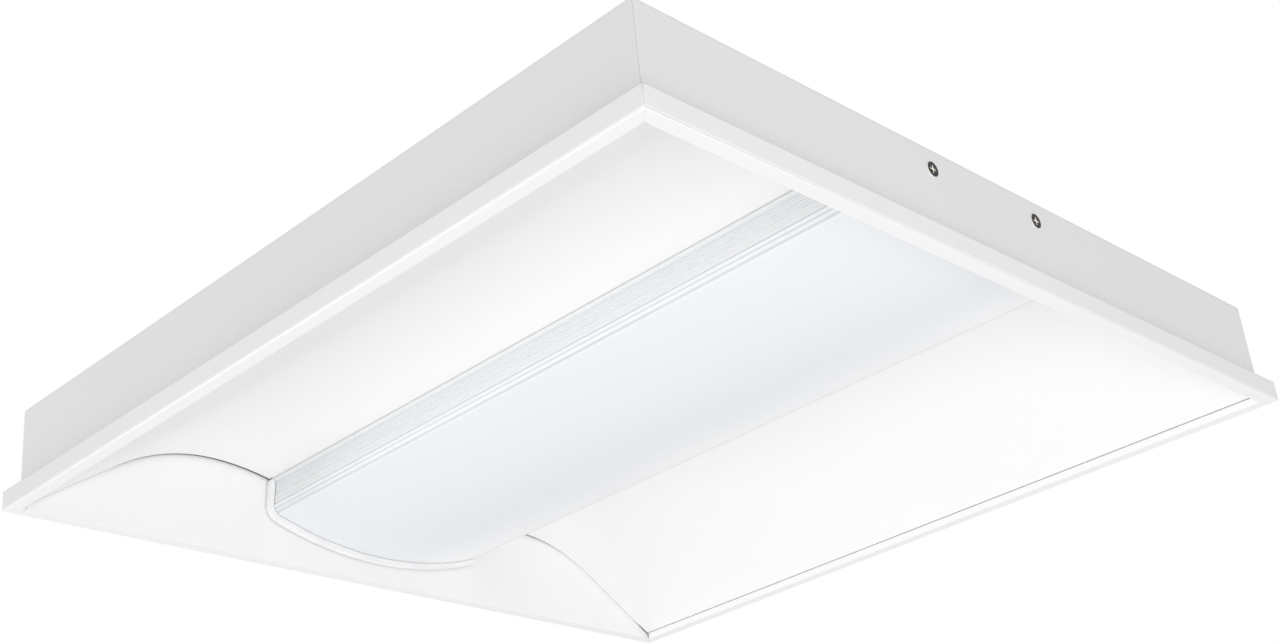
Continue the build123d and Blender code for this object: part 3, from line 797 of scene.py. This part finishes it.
class Bench:
    """Hand tools, which work on one piece at a time."""

    @staticmethod
    def take(piece: Piece) -> None:
        """Selects one piece alone and makes it active.

        Args:
            piece: The piece.
        """
        bpy.ops.object.select_all(action="DESELECT")
        piece.select_set(True)
        bpy.context.view_layer.objects.active = piece

    @staticmethod
    def settle(name: str) -> Piece:
        """Names the new piece and bakes its place and scale into its mesh.

        Args:
            name: The piece's name.

        Returns:
            The piece.
        """
        bpy.ops.object.transform_apply(location=True, rotation=True, scale=True)
        bpy.context.object.name = name
        return bpy.context.object

    @classmethod
    def block(cls, name: str, low: Sequence[float], high: Sequence[float]) -> Piece:
        """Adds a box between two corners.

        Args:
            name: The piece's name.
            low: Lowest corner.
            high: Highest corner.

        Returns:
            The new piece.
        """
        middle = [(a + b) / 2 for a, b in zip(low, high)]
        bpy.ops.mesh.primitive_cube_add(size=1.0, location=middle)
        bpy.context.object.scale = [b - a for a, b in zip(low, high)]
        return cls.settle(name)

    @classmethod
    @contextmanager
    def picked(cls, piece: Piece, kind: str, test: Test = every) -> Iterator[int]:
        """Opens a piece for edit-mode tools, with the parts chosen that pass a test.

        Args:
            piece: The piece to work on.
            kind: "FACE", "EDGE" or "VERT".
            test: Takes a bmesh face, edge or vertex.

        Yields:
            How many were chosen.
        """
        cls.take(piece)
        bpy.ops.object.mode_set(mode="EDIT")
        bpy.ops.mesh.select_mode(type=kind)
        bpy.ops.mesh.select_all(action="DESELECT")
        shape = bmesh.from_edit_mesh(piece.data)
        parts = {"FACE": shape.faces, "EDGE": shape.edges, "VERT": shape.verts}[kind]
        chosen = [part for part in parts if test(part)]
        for part in chosen:
            part.select_set(True)
        bmesh.update_edit_mesh(piece.data)
        yield len(chosen)
        bpy.ops.object.mode_set(mode="OBJECT")

    @classmethod
    def divide(cls, piece: Piece, axis: int, cuts: int) -> None:
        """Cuts a block across an axis."""
        with cls.picked(piece, "EDGE", along(axis)):
            bpy.ops.mesh.subdivide(number_cuts=cuts)

    @classmethod
    def round_edges(cls, piece: Piece, width: float, test: Test = every, steps: int = 2) -> None:
        """Rounds the edges that pass a test, in so many steps."""
        with cls.picked(piece, "EDGE", test):
            bpy.ops.mesh.bevel(offset=width, segments=steps, affect="EDGES")

    @classmethod
    def sink(cls, piece: Piece, test: Test, press: Span) -> None:
        """Insets the faces that pass a test by a press's border and sinks them by its depth."""
        with cls.picked(piece, "FACE", test):
            bpy.ops.mesh.inset(thickness=press[0], depth=-press[1])

    @classmethod
    def smooth(cls, piece: Piece, degrees: float = 35.0) -> None:
        """Shades a piece smooth except at sharp edges."""
        cls.take(piece)
        bpy.ops.object.shade_smooth_by_angle(angle=math.radians(degrees))

    @classmethod
    def modify(cls, piece: Piece, kind: str, **settings: object) -> None:
        """Adds a modifier and applies it.

        Args:
            piece: The piece.
            kind: The modifier's type.
            settings: Its attributes.
        """
        cls.take(piece)
        modifier = piece.modifiers.new(kind.title(), kind)
        for name, value in settings.items():
            setattr(modifier, name, value)
        bpy.ops.object.modifier_apply(modifier=modifier.name)

    @classmethod
    def pair(cls, name: str, low: Vector, high: Vector, width: float) -> Piece:
        """Adds one box at each end of a longer one, as one piece.

        Args:
            name: The piece's name.
            low: The long box's lowest corner.
            high: Its highest corner.
            width: Width of each box along X.

        Returns:
            The new piece.
        """
        other = cls.block(name, (high.x - width, low.y, low.z), high)
        piece = cls.block(name, low, (low.x + width, high.y, high.z))
        other.select_set(True)
        bpy.ops.object.join()
        piece.name = name
        return piece


@dataclass
class Assembly:
    """What each sub-assembly shares: the frame, its body and the way pieces are hung on it.

    Attributes:
        frame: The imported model.
        body: The body that its pieces ride on.
    """

    frame: dict
    body: str = "housing"

    def dress(self, finish: Finish, *nodes: str) -> None:
        """Gives CAD nodes a finish.

        Args:
            finish: The finish.
            nodes: The nodes' names.
        """
        for node in nodes:
            materials = self.frame["nodes"][node].data.materials
            materials.clear()
            materials.append(finish.material)
            log.info("%s: %s", node, finish.name)

    def hang(self, piece: Piece, finish: Finish, slot: str, *stands_for: str) -> None:
        """Finishes a new piece and lets it ride on the body.

        Args:
            piece: The piece.
            finish: Its finish.
            slot: The record's material slot; not used.
            stands_for: CAD nodes that it replaces.
        """
        piece.data.materials.clear()
        piece.data.materials.append(finish.material)
        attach(piece, self.body)
        if stands_for:
            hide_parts(*stands_for)
        log.info("%s: %d faces, %s", piece.name, len(piece.data.polygons), finish.name)

    def refine(
        self, node: str, finish: Finish, slot: str, degrees: float = 30.0, rounding: float = 0.0
    ) -> Piece:
        """Remakes a CAD node as one smooth skin, with its sharp edges broken.

        Args:
            node: The node's name.
            finish: The finish.
            slot: The record's material slot.
            degrees: Sharper edges than this stay edges.
            rounding: Width of the broken edge.

        Returns:
            The new piece.
        """
        piece = bpy.data.objects.new(f"{node}_skin", self.frame["nodes"][node].data.copy())
        bpy.context.collection.objects.link(piece)
        with Bench.picked(piece, "FACE"):
            bpy.ops.mesh.remove_doubles(threshold=WELD)
            bpy.ops.mesh.dissolve_limited(angle_limit=FLAT)
        if rounding:
            limit = math.radians(degrees)
            Bench.modify(piece, "BEVEL", width=rounding, segments=2, limit_method="ANGLE", angle_limit=limit)
        Bench.smooth(piece, degrees)
        Bench.modify(piece, "WEIGHTED_NORMAL", keep_sharp=True)
        self.hang(piece, finish, slot, node)
        return piece


# ---------------- sub-assemblies
@dataclass
class Housing(Assembly):
    """The folded pan, the hollow rim and the end plates.

    Attributes:
        tip_radius: Radius of the rim's corners.
        tip_cuts: Directions of the facets on a corner, in degrees.
        head_scale: Size of the end screws' heads against the solids' heads.
        recess_height: Height over the wall under which the painted glint shows in a screw's recess.
        rim_coat: The rim's coat.
    """

    tip_radius: float = 1.9 * MM
    tip_cuts: Sequence[float] = (22.5, 45.0, 67.5)
    head_scale: Place = (1.02, 0.36, 1.02)
    recess_height: float = 0.7 * MM
    rim_coat: Finish = RimCoat("rim_powder_coat", (0.91, 0.91, 0.91), joint=Mark(0.06, JOINT_AND_SHADOW))

    def build(self) -> None:
        """Dresses the pan and the end plates, and remakes the rim and the end screws."""
        self.dress(WALL_COAT, "housing_pan")
        self.dress(INNER_COAT, "end_plate_front", "end_plate_rear")
        for side in ("left", "right", "front", "rear"):
            self.rail(side)
        self.dress(ZINC, "rim_corner_keys")
        self.screws()

    def rail(self, side: str) -> None:
        """Remakes one rail with its mitred tips dressed round.

        Args:
            side: "left", "right", "front" or "rear".
        """
        rail = self.refine(f"rim_rail_{side}", self.rim_coat, "steel_paint", 25.0)
        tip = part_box("rim_rail_right")[1].x - self.tip_radius
        corners = [(across, ahead) for across in (-1.0, 1.0) for ahead in (-1.0, 1.0)]
        for across, ahead in corners:
            for degrees in self.tip_cuts:
                turn = math.radians(degrees)
                outwards = Vector((across * math.cos(turn), ahead * math.sin(turn), 0.0))
                place = Vector((across * tip, ahead * tip, 0.0)) + outwards * self.tip_radius
                outside = lambda corner: (corner.co - place).dot(outwards) > 0.0
                with Bench.picked(rail, "VERT", outside) as count:
                    if count:
                        bpy.ops.mesh.select_all(action="SELECT")
                        cut = dict(plane_co=place, plane_no=outwards, clear_outer=True, use_fill=True)
                        bpy.ops.mesh.bisect(**cut)

    def screws(self) -> None:
        """Remakes the end screws with low heads."""
        low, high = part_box("end_screws")
        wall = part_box("housing_pan")[1].y
        reach = (high.z - low.z) / 2
        heads = [(x, low.z + reach) for x in (low.x + reach, high.x - reach)]
        coat = DarkScrew(
            "black_oxide", (0.012, 0.012, 0.014), (0.05, 0.05, 0.055), heads, wall + self.recess_height
        )
        screws = self.refine("end_screws", coat, "black_screw")
        for x, z in heads:
            for end in (-1.0, 1.0):
                head = lambda corner: corner.co.y * end > wall and abs(corner.co.x - x) < 2 * reach
                with Bench.picked(screws, "VERT", head):
                    bpy.ops.transform.resize(value=self.head_scale, center_override=(x, wall * end, z))


@dataclass
class Reflectors(Assembly):
    """The two curved reflectors, their screws and a wiper.

    Attributes:
        coat: The reflectors' coat.
        wiper_room: Gap between the lens's top edge and the wiper.
        wiper_size: The wiper's width and height.
        wiper_bite: How far it is pressed into the reflector.
    """

    coat: Finish = ReflectorCoat("reflector_powder_coat", (0.915, 0.915, 0.915), Sheen.MATT, specks=0.02)
    wiper_room: float = 0.3 * MM
    wiper_size: Span = (2.0 * MM, 1.2 * MM)
    wiper_bite: float = 0.05 * MM

    def build(self) -> None:
        """Dresses both reflectors as smooth skins and adds the wiper."""
        for side in ("left", "right"):
            self.refine(f"reflector_{side}", self.coat, "steel_paint", 20.0)
        self.refine("reflector_screws", ZINC, "zinc", 35.0, rounding=0.2 * MM)
        self.wiper()

    def wiper(self) -> None:
        """Makes the foam wiper that closes the slot over the lens's hinge edge."""
        lens_low, lens_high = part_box("diffuser_lens")
        width, height = self.wiper_size
        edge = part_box("reflector_left")[1].x - self.wiper_bite
        foot = lens_high.z + self.wiper_room
        top = (edge + width, lens_high.y, foot + height)
        strip = Bench.block("hinge_wiper", (edge, lens_low.y, foot), top)
        Bench.round_edges(strip, width=0.3 * MM, test=along(Y))
        Bench.smooth(strip, 60.0)
        self.hang(strip, FOAM, "foam")


@dataclass
class LampTray(Assembly):
    """The tray with its brackets, lamp boards, seals and latches.

    Attributes:
        lamps: How many lamps a board has.
        dome_radius: Radius of a gel dome.
        dome_height: Height of a gel dome against its radius.
        seal_rounding: Width of a seal's rounded edges.
        plug_width: Width of a board connector.
        plug_window: Border and depth of its release window.
        spring: The latch springs' finish.
        mask: Colour of the lamp boards.
        gel: The domes' finish.
        package: The lamps' finish.
        nylon: The board connectors' finish.
    """

    lamps: int = 36
    dome_radius: float = 1.15 * MM
    dome_height: float = 0.35
    seal_rounding: float = 0.8 * MM
    plug_width: float = 12.0 * MM
    plug_window: Span = (0.8 * MM, 0.6 * MM)
    spring: Finish = PlatedSteel("bright_spring", (0.6, 0.61, 0.63), 0.22, 0.5)
    mask: Colour = (0.86, 0.87, 0.88)
    gel: Finish = Phosphor("lamp_gel", (0.92, 0.76, 0.22))
    package: Finish = MouldedPlastic("lamp_package", (0.9, 0.89, 0.84), 0.4)
    nylon: Finish = MouldedPlastic("natural_nylon", (0.86, 0.85, 0.8), 0.42, glow=0.1)

    def build(self) -> None:
        """Dresses the tray and adds what is soft or small on it."""
        self.dress(INNER_COAT, "led_tray")
        self.dress(ZINC, "tray_bracket_front", "tray_bracket_rear", "tray_nuts")
        for rivets in ("board_rivets", "latch_rivets"):
            self.refine(rivets, ZINC, "zinc", 35.0, rounding=0.35 * MM)
        self.dress(self.spring, "latch_springs")
        for side in ("left", "right"):
            self.board(side)
            self.seal(side)
        self.connectors()

    def board(self, side: str) -> None:
        """Dresses one lamp board and its lamps, and sets a gel dome in each lamp.

        Args:
            side: "left" or "right".
        """
        low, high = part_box(f"leds_{side}")
        package = high.x - low.x
        pitch = (high.y - low.y - package) / (self.lamps - 1)
        first = Vector((low.x + package / 2, low.y + package / 2, low.z))
        mask = SolderMask(f"lamp_board_{side}", self.mask, centre=first.x, pitch=pitch)
        self.dress(mask, f"led_board_{side}")
        self.dress(self.package, f"leds_{side}")
        ball = dict(segments=10, ring_count=6, radius=self.dome_radius)
        bpy.ops.mesh.primitive_uv_sphere_add(**ball, location=first)
        bpy.context.object.scale.z = self.dome_height
        dome = Bench.settle(f"lamp_gel_{side}")
        with Bench.picked(dome, "FACE"):
            bpy.ops.mesh.bisect(plane_co=first, plane_no=(0, 0, 1), clear_outer=True, use_fill=True)
        row = dict(count=self.lamps, use_relative_offset=False, use_constant_offset=True)
        Bench.modify(dome, "ARRAY", **row, constant_offset_displace=(0.0, pitch, 0.0))
        Bench.smooth(dome, 50.0)
        self.hang(dome, self.gel, "led")

    def seal(self, side: str) -> None:
        """Makes one foam strip, rounded where it isn't stuck down.

        Args:
            side: "left" or "right".
        """
        low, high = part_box(f"light_seal_{side}")
        strip = Bench.block(f"foam_strip_{side}", low, high)
        Bench.divide(strip, Y, cuts=48)

        def lower_side(edge: bmesh.types.BMEdge) -> bool:
            """A test for the lower edges that run along the strip."""
            return not along(X)(edge) and all(corner.co.z < low.z + SLACK for corner in edge.verts)

        Bench.round_edges(strip, self.seal_rounding, lower_side, steps=3)
        Bench.smooth(strip, 60.0)
        self.hang(strip, FOAM, "foam", f"light_seal_{side}")

    def connectors(self) -> None:
        """Makes the two wire-to-board connectors with release windows on top."""
        plugs = Bench.pair("board_plugs", *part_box("board_connectors"), self.plug_width)
        Bench.divide(plugs, X, cuts=2)
        Bench.sink(plugs, looking(Z, 1.0), self.plug_window)
        Bench.round_edges(plugs, width=0.2 * MM)
        Bench.smooth(plugs)
        self.hang(plugs, self.nylon, "white_plastic", "board_connectors")


@dataclass
class Driver(Assembly):
    """The driver, its leads and connectors.

    A press is the border left and the depth of the middle.

    Attributes:
        case_presses: Presses of the case's bottom, sides and ends.
        case_rounding: Width of the case's rounded edges.
        push_in_width: Width of a push-in connector.
        push_in_ports: The ports' press.
        push_in_back: The back's press.
        enamel: The case's finish.
        orange: The push-in connectors' finish.
    """

    case_presses: Sequence[Span] = ((3.0 * MM, 0.6 * MM), (2.5 * MM, 0.4 * MM), (2.0 * MM, 0.8 * MM))
    case_rounding: float = 0.5 * MM
    push_in_width: float = 9.0 * MM
    push_in_ports: Span = (1.6 * MM, 4.0 * MM)
    push_in_back: Span = (0.9 * MM, 0.5 * MM)
    enamel: Finish = PowderCoat("driver_enamel", (0.8, 0.81, 0.83), Sheen.GLOSS, peel=0.03 * MM)
    orange: Finish = MouldedPlastic("orange_polycarbonate", (0.82, 0.33, 0.06), 0.28, coat=0.3)

    def build(self) -> None:
        """Dresses the driver and its wiring."""
        self.case()
        self.dress(ZINC, "driver_base")
        self.refine("driver_screws", ZINC, "zinc", 35.0, rounding=0.25 * MM)
        green = DarkScrew("green_zinc", (0.03, 0.26, 0.08), (0.08, 0.4, 0.15))
        self.refine("ground_screw", green, "green_screw", 35.0, rounding=0.25 * MM)
        for leads, colour, tint in (
            ("lamp_leads", "red", (0.5, 0.04, 0.03)),
            ("board_link_leads", "red", (0.5, 0.04, 0.03)),
            ("mains_leads", "black", (0.03, 0.03, 0.033)),
            ("ground_lead", "green", (0.04, 0.28, 0.08)),
        ):
            insulation = MouldedPlastic(f"{colour}_insulation", tint, 0.36, coat=0.2)
            self.refine(leads, insulation, f"lead_{colour}", 40.0)
        nylon = MouldedPlastic("black_nylon", (0.035, 0.035, 0.037), 0.5)
        self.refine("lead_bushing", nylon, "black_plastic")
        self.push_ins()

    def case(self) -> None:
        """Makes the driver's folded case with pressed panels."""
        case = Bench.block("driver_shell", *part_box("driver_case"))
        Bench.divide(case, Y, cuts=4)
        panels = (looking(Z, -1.0), looking(X, -1.0, 1.0), looking(Y, -1.0, 1.0))
        for panel, press in zip(panels, self.case_presses):
            Bench.sink(case, panel, press)
        Bench.round_edges(case, self.case_rounding, sharp)
        Bench.smooth(case)
        self.hang(case, self.enamel, "driver_paint", "driver_case")

    def push_ins(self) -> None:
        """Makes the push-in connectors with their hollowed backs and open ports."""
        bodies = Bench.pair("push_in_bodies", *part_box("push_in_connectors"), self.push_in_width)
        Bench.divide(bodies, Y, cuts=3)
        Bench.sink(bodies, looking(Y, -1.0), self.push_in_ports)
        Bench.sink(bodies, looking(Z, 1.0), self.push_in_back)
        Bench.round_edges(bodies, width=0.3 * MM, test=sharp)
        Bench.smooth(bodies)
        self.hang(bodies, self.orange, "orange_plastic", "push_in_connectors")


@dataclass
class WiringCover(Assembly):
    """The hinged wiring cover with its knockouts and screw.

    Attributes:
        ring_radius: Outer radius of the pry ring.
        ring_height: Height of the pry ring's disc.
        ring_press: Width of the ring and depth of its middle.
    """

    body: str = "wiring_cover"
    ring_radius: float = 7.0 * MM
    ring_height: float = 0.5 * MM
    ring_press: Span = (1.2 * MM, 0.35 * MM)

    def build(self) -> None:
        """Dresses the cover and stamps its closed knockout."""
        self.dress(WALL_COAT, "access_cover", "knockout_slug")
        self.refine("cover_screw", ZINC, "zinc", 35.0, rounding=0.25 * MM)
        self.stamp()

    def stamp(self) -> None:
        """Raises the pry ring on the closed knockout."""
        low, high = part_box("knockout_slug")
        centre = ((low.x + high.x) / 2, (low.y + high.y) / 2, high.z)
        bpy.ops.mesh.primitive_cylinder_add(
            vertices=48, radius=self.ring_radius, depth=self.ring_height, location=centre
        )
        ring = Bench.settle("knockout_ring")
        Bench.sink(ring, looking(Z, 1.0), self.ring_press)
        Bench.round_edges(ring, width=0.12 * MM, test=sharp)
        Bench.smooth(ring)
        self.hang(ring, WALL_COAT, "steel_paint")


@dataclass
class Diffuser(Assembly):
    """The swing-down lens with its end caps and hinge pins.

    Attributes:
        acrylic: The lens's finish.
        plastic: The end caps' finish.
    """

    body: str = "diffuser"
    acrylic: Finish = PrismAcrylic("prism_acrylic", (0.865, 0.882, 0.905), (0.9, 0.912, 0.925))
    plastic: Finish = MouldedPlastic("cap_plastic", (0.95, 0.95, 0.95), 0.4, coat=0.1)

    def build(self) -> None:
        """Dresses the lens and its caps as smooth skins."""
        self.refine("diffuser_lens", self.acrylic, "lens", 24.0)
        for end in ("front", "rear"):
            self.refine(f"lens_cap_{end}", self.plastic, "lens_cap")
        self.dress(ZINC, "hinge_pins")


# ---------------- the studio
@dataclass(frozen=True)
class SoftLamp:
    """A round soft lamp.

    Attributes:
        name: Its name.
        place: Where it hangs.
        size: Its width.
        power: Its power, in watts.
    """

    name: str
    place: Place
    size: float
    power: float

    def hang(self, target: Place) -> None:
        """Hangs the lamp so that it faces a point.

        Args:
            target: The point.
        """
        data = bpy.data.lights.new(self.name, "AREA")
        data.shape, data.size, data.energy = "DISK", self.size, self.power
        lamp = bpy.data.objects.new(self.name, data)
        bpy.context.collection.objects.link(lamp)
        lamp.location = self.place
        lamp.rotation_euler = (Vector(target) - Vector(self.place)).to_track_quat("-Z", "Y").to_euler()
        lamp.visible_camera = False


@dataclass
class Studio:
    """Pale floor, white surround and soft light.

    Attributes:
        floor_height: Height of the floor.
        floor_size: Width of the floor.
        floor_tones: The floor's two tones.
        surround: Light that comes from all round.
        target: The point that all lamps face.
        lamps: The soft lamps.
    """

    floor_height: float = -4.6
    floor_size: float = 120.0
    floor_tones: tuple[Colour, Colour] = ((0.86, 0.86, 0.86), (0.83, 0.83, 0.83))
    surround: float = 0.67
    target: Place = (0.0, 0.0, 0.03)
    lamps: Sequence[SoftLamp] = (
        SoftLamp("key", (-1.2, -2.35, -2.0), 3.0, 44.0),
        SoftLamp("side_fill", (-2.1, 1.9, -0.8), 1.6, 16.5),
        SoftLamp("low_fill", (0.0, 0.3, -2.4), 3.0, 12.5),
        SoftLamp("overhead", (0.3, 0.2, 3.0), 2.4, 12.0),
    )

    def build(self) -> None:
        """Lays the floor, sets the surround and hangs the lamps."""
        bpy.context.scene.view_settings.view_transform = "Standard"
        self.floor()
        self.white()
        for lamp in self.lamps:
            lamp.hang(self.target)

    def floor(self) -> None:
        """Lays the floor."""
        bpy.ops.mesh.primitive_plane_add(size=self.floor_size, location=(0, 0, self.floor_height))
        floor = bpy.context.object
        floor.name = "floor"
        bench = NodeBench.material("studio_floor")
        tint = bench.blend(bench.noise(scale=2.0) * 0.2, *self.floor_tones)
        floor.data.materials.append(bench.close(Base_Color=tint, Roughness=0.8))

    def white(self) -> None:
        """Sets a white background and the surround's light."""
        world = bpy.data.worlds.new("surround")
        bpy.context.scene.world = world
        bench = NodeBench(world)
        path = bench.node("LightPath").outputs
        seen = Wire(bench, path["Is Camera Ray"]).most(Wire(bench, path["Is Transmission Ray"]))
        level = self.surround + (1.0 - self.surround) * seen
        back = bench.node("Background", {"Color": (1.0, 1.0, 1.0), "Strength": level})
        bench.node("OutputWorld", {0: back.outputs[0]})


@dataclass
class PhotoCamera:
    """The camera at the photograph's place.

    Attributes:
        place: Where it stands.
        right: Its X axis.
        down: The picture's downward direction.
        ahead: The way it looks.
        lens: Focal length on 36 mm film, in millimetres.
        nearest: Nearest distance that it shows.
    """

    place: Place = (-0.86239, -0.80430, -0.48230)
    right: Place = (0.70886, -0.69951, -0.09056)
    down: Place = (0.25426, 0.37316, -0.89224)
    ahead: Place = (0.65793, 0.60945, 0.44238)
    lens: float = 53.7956
    nearest: float = 0.01

    def build(self) -> None:
        """Sets up the camera."""
        data = bpy.data.cameras.new("photo_camera")
        data.lens = self.lens
        data.clip_start = self.nearest
        camera = bpy.data.objects.new("photo_camera", data)
        bpy.context.collection.objects.link(camera)
        columns = (Vector(self.right), -Vector(self.down), -Vector(self.ahead))
        turn = Matrix([[column[row] for column in columns] for row in range(3)])
        camera.matrix_world = Matrix.Translation(self.place) @ turn.to_4x4()
        bpy.context.scene.camera = camera


def main() -> None:
    """Builds the whole scene in order."""
    logging.basicConfig(level=logging.INFO, format="%(name)s: %(message)s")
    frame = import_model()
    PhotoCamera().build()
    Studio().build()
    for assembly in (Housing, Reflectors, LampTray, Driver, WiringCover, Diffuser):
        assembly(frame).build()

    log.info("sizes written")


if __name__ == "__main__":
    main()
